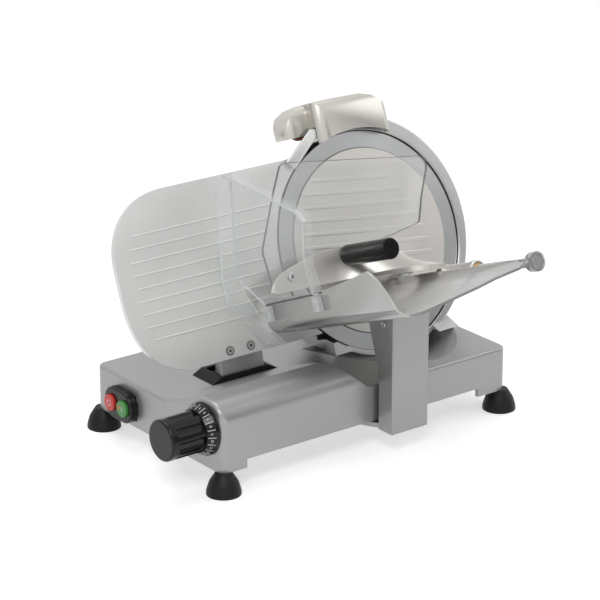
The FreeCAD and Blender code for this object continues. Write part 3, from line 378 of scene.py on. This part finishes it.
LEFTWARD = Vector((-1, 0, 0))
disc("stop_ring", "stop_button", face_centre(STOP_LOW, STOP_HIGH), LEFTWARD, 0.0036, PRINT_DEPTH,
     WHITE_PRINT, hole=0.0028)
bar = bmesh.new()
block(bar, face_centre(START_LOW, START_HIGH) + Vector((0, -0.0012, 0)), Vector((PRINT_DEPTH, 0, 0)),
      Vector((0, 0.0005, 0)), Vector((0, 0, 0.0032)))
bar_mesh = bpy.data.meshes.new("start_bar")
bar.to_mesh(bar_mesh)
bar.free()
new_piece("start_bar", bar_mesh, "start_button", [WHITE_PRINT], smooth=False)
disc("start_lamp", "start_button", face_centre(START_LOW, START_HIGH) + Vector((0, 0.004, 0.001)),
     LEFTWARD, 0.0022, PRINT_DEPTH, ORANGE_PRINT)

# ---------------------------------------------------------------- screw on the side of the post
POST_LOW, POST_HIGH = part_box("carriage_post")
SCREW_PLACE = Vector((POST_LOW.x, POST_LOW.y + 0.016, 0.150))
STEEL = MATERIALS["machined_steel"]
bevelled(disc("post_screw", "carriage", SCREW_PLACE, LEFTWARD, 0.0034, 0.002, STEEL, hole=0.0014,
              sides=28), 0.0006, 2)

# ---------------------------------------------------------------- screw heads on the blade side
PUSHER_SCREW = (-138, -17, 31)                       # on the front of the pusher's arm
GAUGE_SCREWS = ((-218, -80, 0.6), (-190, -80, 0.6))  # on the fronts of the gauge plate's screws
bevelled(disc("pusher_screw_head", "pusher_arm", blade_point(*PUSHER_SCREW), OUTWARD, 0.0046, 0.0022,
              STEEL, hole=0.002, sides=32), 0.0006, 2)
# the near-black hexagon at the bottom of the head's hole is painted shade in the socket
disc("pusher_screw_socket", "pusher_arm", blade_point(*PUSHER_SCREW), OUTWARD, 0.0019, 0.0006,
     RECESS_SHADE_PAINT, sides=6)
for number, spot in enumerate(GAUGE_SCREWS, start=1):
    disc(f"gauge_screw_rim_{number}", "gauge", blade_point(*spot), OUTWARD, 0.0052, PRINT_DEPTH,
         SCREW_GREY, hole=0.0038)
    # a flat near-black hexagon on each gauge screw: painted shade where the socket is
    disc(f"gauge_screw_socket_{number}", "gauge", blade_point(*spot), OUTWARD, 0.0017, PRINT_DEPTH,
         RECESS_SHADE_PAINT, sides=6)


# ---------------------------------------------------------------- blade cover, seam and ring lip
COVER_ROUND = 105.5                                  # the cover's radius, in the blade's dish
SEAM_WIDTH = 0.9
RIB_RIGHT_ENDS = (35, 49, 59, 69, 75, 80, 83, 84)    # along each row, which start at RIB_START
RIB_START, RIB_TOP, RIB_PITCH, RIB_WIDTH = -60, 72, 15.1, 4.9
RIB_TURN = math.radians(7.3)                         # the rows run down to the right
RIB_LOW, RIB_HIGH = 1.2, 2.9
RIB_END_STEPS = 8
LIP_INSIDE, LIP_OUTSIDE = 126.2, 128.5
LIP_LOW, LIP_HIGH = -1.0, 2.6
LIP_START, LIP_END = math.radians(-120), math.radians(105)
LIP_STEPS = 120


def rib_extension(number, right_end):
    """The rest of a rib towards the right, with round ends, over the CAD cover's own rib."""
    row = RIB_TOP - (number - 1) * RIB_PITCH
    radius = RIB_WIDTH / 2
    outline = []
    for end, turn in ((right_end, -math.pi / 2), (RIB_START, math.pi / 2)):
        for step in range(RIB_END_STEPS + 1):
            angle = turn + math.pi * step / RIB_END_STEPS
            outline.append((end + radius * math.cos(angle), row + radius * math.sin(angle)))
    shape = bmesh.new()
    low, high = ([shape.verts.new(blade_point(u * math.cos(RIB_TURN) + v * math.sin(RIB_TURN),
                                              v * math.cos(RIB_TURN) - u * math.sin(RIB_TURN), w))
                  for u, v in outline] for w in (RIB_LOW, RIB_HIGH))
    shape.faces.new(low)
    shape.faces.new(high)
    for index, vert in enumerate(low):
        after = (index + 1) % len(low)
        shape.faces.new((vert, low[after], high[after], high[index]))
    bmesh.ops.recalc_face_normals(shape, faces=shape.faces)
    mesh = bpy.data.meshes.new(f"cover_rib_{number}")
    shape.to_mesh(mesh)
    shape.free()
    return bevelled(new_piece(f"cover_rib_{number}", mesh, body_of("blade_cover"),
                              [MATERIALS["cover_aluminium"]]), 0.0013, 3)


def ring_lip():
    """The rounded lip inside the ring, close round the blade's edge."""
    corners = ((LIP_INSIDE, LIP_LOW), (LIP_INSIDE, LIP_HIGH), (LIP_OUTSIDE, LIP_HIGH),
               (LIP_OUTSIDE, LIP_LOW))
    shape = bmesh.new()
    sections = []
    for step in range(LIP_STEPS + 1):
        angle = LIP_START + (LIP_END - LIP_START) * step / LIP_STEPS
        sections.append([shape.verts.new(blade_point(radius * math.cos(angle),
                                                     radius * math.sin(angle), w))
                         for radius, w in corners])
    for section, following in zip(sections, sections[1:]):
        for index in range(4):
            after = (index + 1) % 4
            shape.faces.new((section[index], section[after], following[after], following[index]))
    shape.faces.new(sections[0])
    shape.faces.new(sections[-1])
    bmesh.ops.recalc_face_normals(shape, faces=shape.faces)
    mesh = bpy.data.meshes.new("ring_lip")
    shape.to_mesh(mesh)
    shape.free()
    return bevelled(new_piece("ring_lip", mesh, body_of("ring_casting"),
                              [MATERIALS["ring_aluminium"]]), 0.0005, 2)


for number, right_end in enumerate(RIB_RIGHT_ENDS, start=1):
    rib_extension(number, right_end)
ring_lip()
# a thin near-black ring round the cover's rim: painted shade in the gap between cover and blade
disc("cover_seam", body_of("blade_cover"), blade_point(0, 0, 0.1), OUTWARD,
     (COVER_ROUND + SEAM_WIDTH) / 1000, PRINT_DEPTH, RECESS_SHADE_PAINT, hole=(COVER_ROUND - 0.2) / 1000,
     sides=128)

# ---------------------------------------------------------------- pusher
ARM_TOP = ((-165, -29), (-160, -20), (-149, -11.4), (-125, -4.7), (-107, 0), (-80, 2.2), (-58, 0.5),
           (-27, -5), (2, -14), (20, -24), (30, -36))
ARM_BOTTOM = ((-165, -29.5), (-160, -31.5), (-149, -32), (-125, -32.6), (-107, -33.3), (-80, -34.5),
              (-58, -35.5), (-27, -37), (2, -40.5), (20, -43), (30, -44))
ARM_PLANE = 27                                       # how far the arm's middle stands off the blade
ARM_THICKNESS = 0.006
CURL_START, CURL_END = -80, 12                       # the lower edge curls outward between these
CURL_REACH = 62
ARM_COLUMNS, ARM_ROWS = 64, 16
SLEEVE_SPOT = (30, -54)
SLEEVE_START, SLEEVE_END = 80, 144
SLEEVE_RADIUS = 11


def along_curve(points, place):
    """A smooth curve through the points, at a share of the way along them."""
    span = place * (len(points) - 1)
    index = min(int(span), len(points) - 2)
    rest = span - index
    before, start, end, after = (Vector(points[max(0, min(len(points) - 1, index + step))])
                                 for step in (-1, 0, 1, 2))
    return 0.5 * ((2 * start) + (end - before) * rest
                  + (2 * before - 5 * start + 4 * end - after) * rest ** 2
                  + (3 * start - before - 3 * end + after) * rest ** 3)


def smooth_step(low, high, number):
    share = max(0.0, min(1.0, (number - low) / (high - low)))
    return share * share * (3 - 2 * share)


def pusher_arm():
    """A pressed arm whose lower edge curls out to the sleeve that runs on the pusher's rod."""
    shape = bmesh.new()
    columns = []
    for column in range(ARM_COLUMNS + 1):
        place = column / ARM_COLUMNS
        top, bottom = along_curve(ARM_TOP, place), along_curve(ARM_BOTTOM, place)
        reach = CURL_REACH * smooth_step(CURL_START, CURL_END, top.x)
        verts = []
        for row in range(ARM_ROWS + 1):
            share = row / ARM_ROWS
            spot = top.lerp(bottom, share)
            verts.append(shape.verts.new(blade_point(spot.x, spot.y, ARM_PLANE + reach * share ** 1.7)))
        columns.append(verts)
    for left, right in zip(columns, columns[1:]):
        for row in range(ARM_ROWS):
            shape.faces.new((left[row], left[row + 1], right[row + 1], right[row]))
    mesh = bpy.data.meshes.new("pusher_arm_sheet")
    shape.to_mesh(mesh)
    shape.free()
    piece = new_piece("pusher_arm_sheet", mesh, "pusher_arm", [MATERIALS["cover_aluminium"]])
    wall = piece.modifiers.new("wall", "SOLIDIFY")
    wall.thickness = ARM_THICKNESS
    wall.offset = 0
    bevelled(piece, 0.0016, 3)
    return piece


def pusher_sleeve():
    """The turned sleeve, with a rounded collar at each end."""
    profile = ((SLEEVE_START, 8.6), (SLEEVE_START, 10.2), (SLEEVE_START + 1, SLEEVE_RADIUS),
               (SLEEVE_START + 8, SLEEVE_RADIUS), (SLEEVE_START + 10, SLEEVE_RADIUS - 1),
               (SLEEVE_END - 10, SLEEVE_RADIUS - 1), (SLEEVE_END - 8, SLEEVE_RADIUS),
               (SLEEVE_END - 1, SLEEVE_RADIUS), (SLEEVE_END, 10.2), (SLEEVE_END, 8.6))
    sides = 48
    shape = bmesh.new()
    rings = []
    for w, radius in profile:
        rings.append([shape.verts.new(blade_point(
            SLEEVE_SPOT[0] + radius * math.cos(2 * math.pi * side / sides),
            SLEEVE_SPOT[1] + radius * math.sin(2 * math.pi * side / sides), w)) for side in range(sides)])
    for ring, following in zip(rings, rings[1:] + rings[:1]):
        for side in range(sides):
            after = (side + 1) % sides
            shape.faces.new((ring[side], ring[after], following[after], following[side]))
    bmesh.ops.recalc_face_normals(shape, faces=shape.faces)
    mesh = bpy.data.meshes.new("pusher_sleeve")
    shape.to_mesh(mesh)
    shape.free()
    return bevelled(new_piece("pusher_sleeve", mesh, "pusher_arm", [MATERIALS["cover_aluminium"]]),
                    0.0003, 2)


for piece in (pusher_arm(), pusher_sleeve()):
    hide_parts("meat_pusher")

# ---------------------------------------------------------------- stage
def white_to_eye(tree):
    """1 for the rays that see the background: camera, mirror and glass rays."""
    path = tree.nodes.new("ShaderNodeLightPath")
    total = path.outputs["Is Camera Ray"]
    for ray in ("Is Glossy Ray", "Is Transmission Ray"):
        adder = tree.nodes.new("ShaderNodeMath")
        adder.operation = "MAXIMUM"
        tree.links.new(total, adder.inputs[0])
        tree.links.new(path.outputs[ray], adder.inputs[1])
        total = adder.outputs[0]
    return total


world = bpy.data.worlds.new("studio")
bpy.context.scene.world = world
world.use_nodes = True
tree = world.node_tree
background = tree.nodes["Background"]
background.inputs["Color"].default_value = (0.97, 0.98, 1.0, 1)
background.inputs["Strength"].default_value = 0.36
seen = tree.nodes.new("ShaderNodeBackground")
seen.inputs["Color"].default_value = (1, 1, 1, 1)
seen.inputs["Strength"].default_value = 1.0
mixer = tree.nodes.new("ShaderNodeMixShader")
tree.links.new(white_to_eye(tree), mixer.inputs["Fac"])
tree.links.new(background.outputs[0], mixer.inputs[1])
tree.links.new(seen.outputs[0], mixer.inputs[2])
tree.links.new(mixer.outputs[0], tree.nodes["World Output"].inputs["Surface"])

bpy.ops.mesh.primitive_plane_add(size=12, location=(0, 0, 0))
floor = bpy.context.object
floor.name = "floor"
floor_material, floor_tree, floor_shader = new_material("floor_white")
floor_shader.inputs["Base Color"].default_value = (0.86, 0.86, 0.86, 1)
floor_shader.inputs["Roughness"].default_value = 0.7
glow = floor_tree.nodes.new("ShaderNodeEmission")
glow.inputs["Color"].default_value = (1, 1, 1, 1)
glow.inputs["Strength"].default_value = 0.5
adder = floor_tree.nodes.new("ShaderNodeAddShader")
dark = floor_tree.nodes.new("ShaderNodeEmission")
dark.inputs["Strength"].default_value = 0.0
chooser = floor_tree.nodes.new("ShaderNodeMixShader")
floor_tree.links.new(white_to_eye(floor_tree), chooser.inputs["Fac"])
floor_tree.links.new(dark.outputs[0], chooser.inputs[1])
floor_tree.links.new(glow.outputs[0], chooser.inputs[2])
floor_tree.links.new(floor_shader.outputs[0], adder.inputs[0])
floor_tree.links.new(chooser.outputs[0], adder.inputs[1])
floor_tree.links.new(adder.outputs[0], floor_tree.nodes["Material Output"].inputs["Surface"])
floor.data.materials.append(floor_material)


def lamp(name, place, target, size, power, colour=(1, 1, 1)):
    data = bpy.data.lights.new(name, "AREA")
    data.shape = "DISK"
    data.size = size
    data.energy = power
    data.color = colour
    obj = bpy.data.objects.new(name, data)
    bpy.context.collection.objects.link(obj)
    obj.location = place
    obj.rotation_euler = (Vector(target) - Vector(place)).to_track_quat("-Z", "Y").to_euler()


middle = Vector((0, 0, 0.17))
lamp("key", (-1.2, -1.3, 1.9), middle, 1.1, 18)
lamp("fill", (1.8, -0.9, 1.2), middle, 1.4, 6)
lamp("top", (0.1, 0.6, 2.3), middle, 1.6, 14)


def card(name, place, size, grey):
    """A flat grey board out of the camera's sight, for the metal to mirror."""
    bpy.ops.mesh.primitive_plane_add(size=1, location=place)
    board = bpy.context.object
    board.name = name
    board.scale = (*size, 1)
    board.rotation_euler = (middle - Vector(place)).to_track_quat("Z", "Y").to_euler()
    material, tree, shader = new_material(name + "_grey")
    shader.inputs["Base Color"].default_value = (grey, grey, grey, 1)
    shader.inputs["Roughness"].default_value = 1.0
    board.data.materials.append(material)
    board.visible_camera = False
    board.visible_shadow = False
    board.visible_diffuse = False
    board.visible_transmission = False


card("card_right", (1.5, -2.0, 0.75), (1.1, 0.9), 0.5)
card("card_low", (0.9, -1.3, 0.12), (1.6, 0.24), 0.25)
card("card_left", (-2.0, 0.9, 0.3), (1.8, 0.5), 0.25)

# ---------------------------------------------------------------- camera
CAMERA_YAW = math.radians(37.4)        # the camera looks along +Y, turned this far towards +X
CAMERA_PITCH = math.radians(20.3)
CAMERA_PLACE = Vector((-1.68397, -2.19659, 1.16479))
look = Vector((math.sin(CAMERA_YAW) * math.cos(CAMERA_PITCH),
               math.cos(CAMERA_YAW) * math.cos(CAMERA_PITCH), -math.sin(CAMERA_PITCH)))
camera_data = bpy.data.cameras.new("camera")
camera_data.sensor_width = 36
camera_data.lens = 159
camera_data.clip_end = 50
camera = bpy.data.objects.new("camera", camera_data)
bpy.context.collection.objects.link(camera)
camera.location = CAMERA_PLACE
camera.rotation_euler = look.to_track_quat("-Z", "Y").to_euler()
bpy.context.scene.camera = camera
bpy.context.scene.view_settings.view_transform = "Standard"
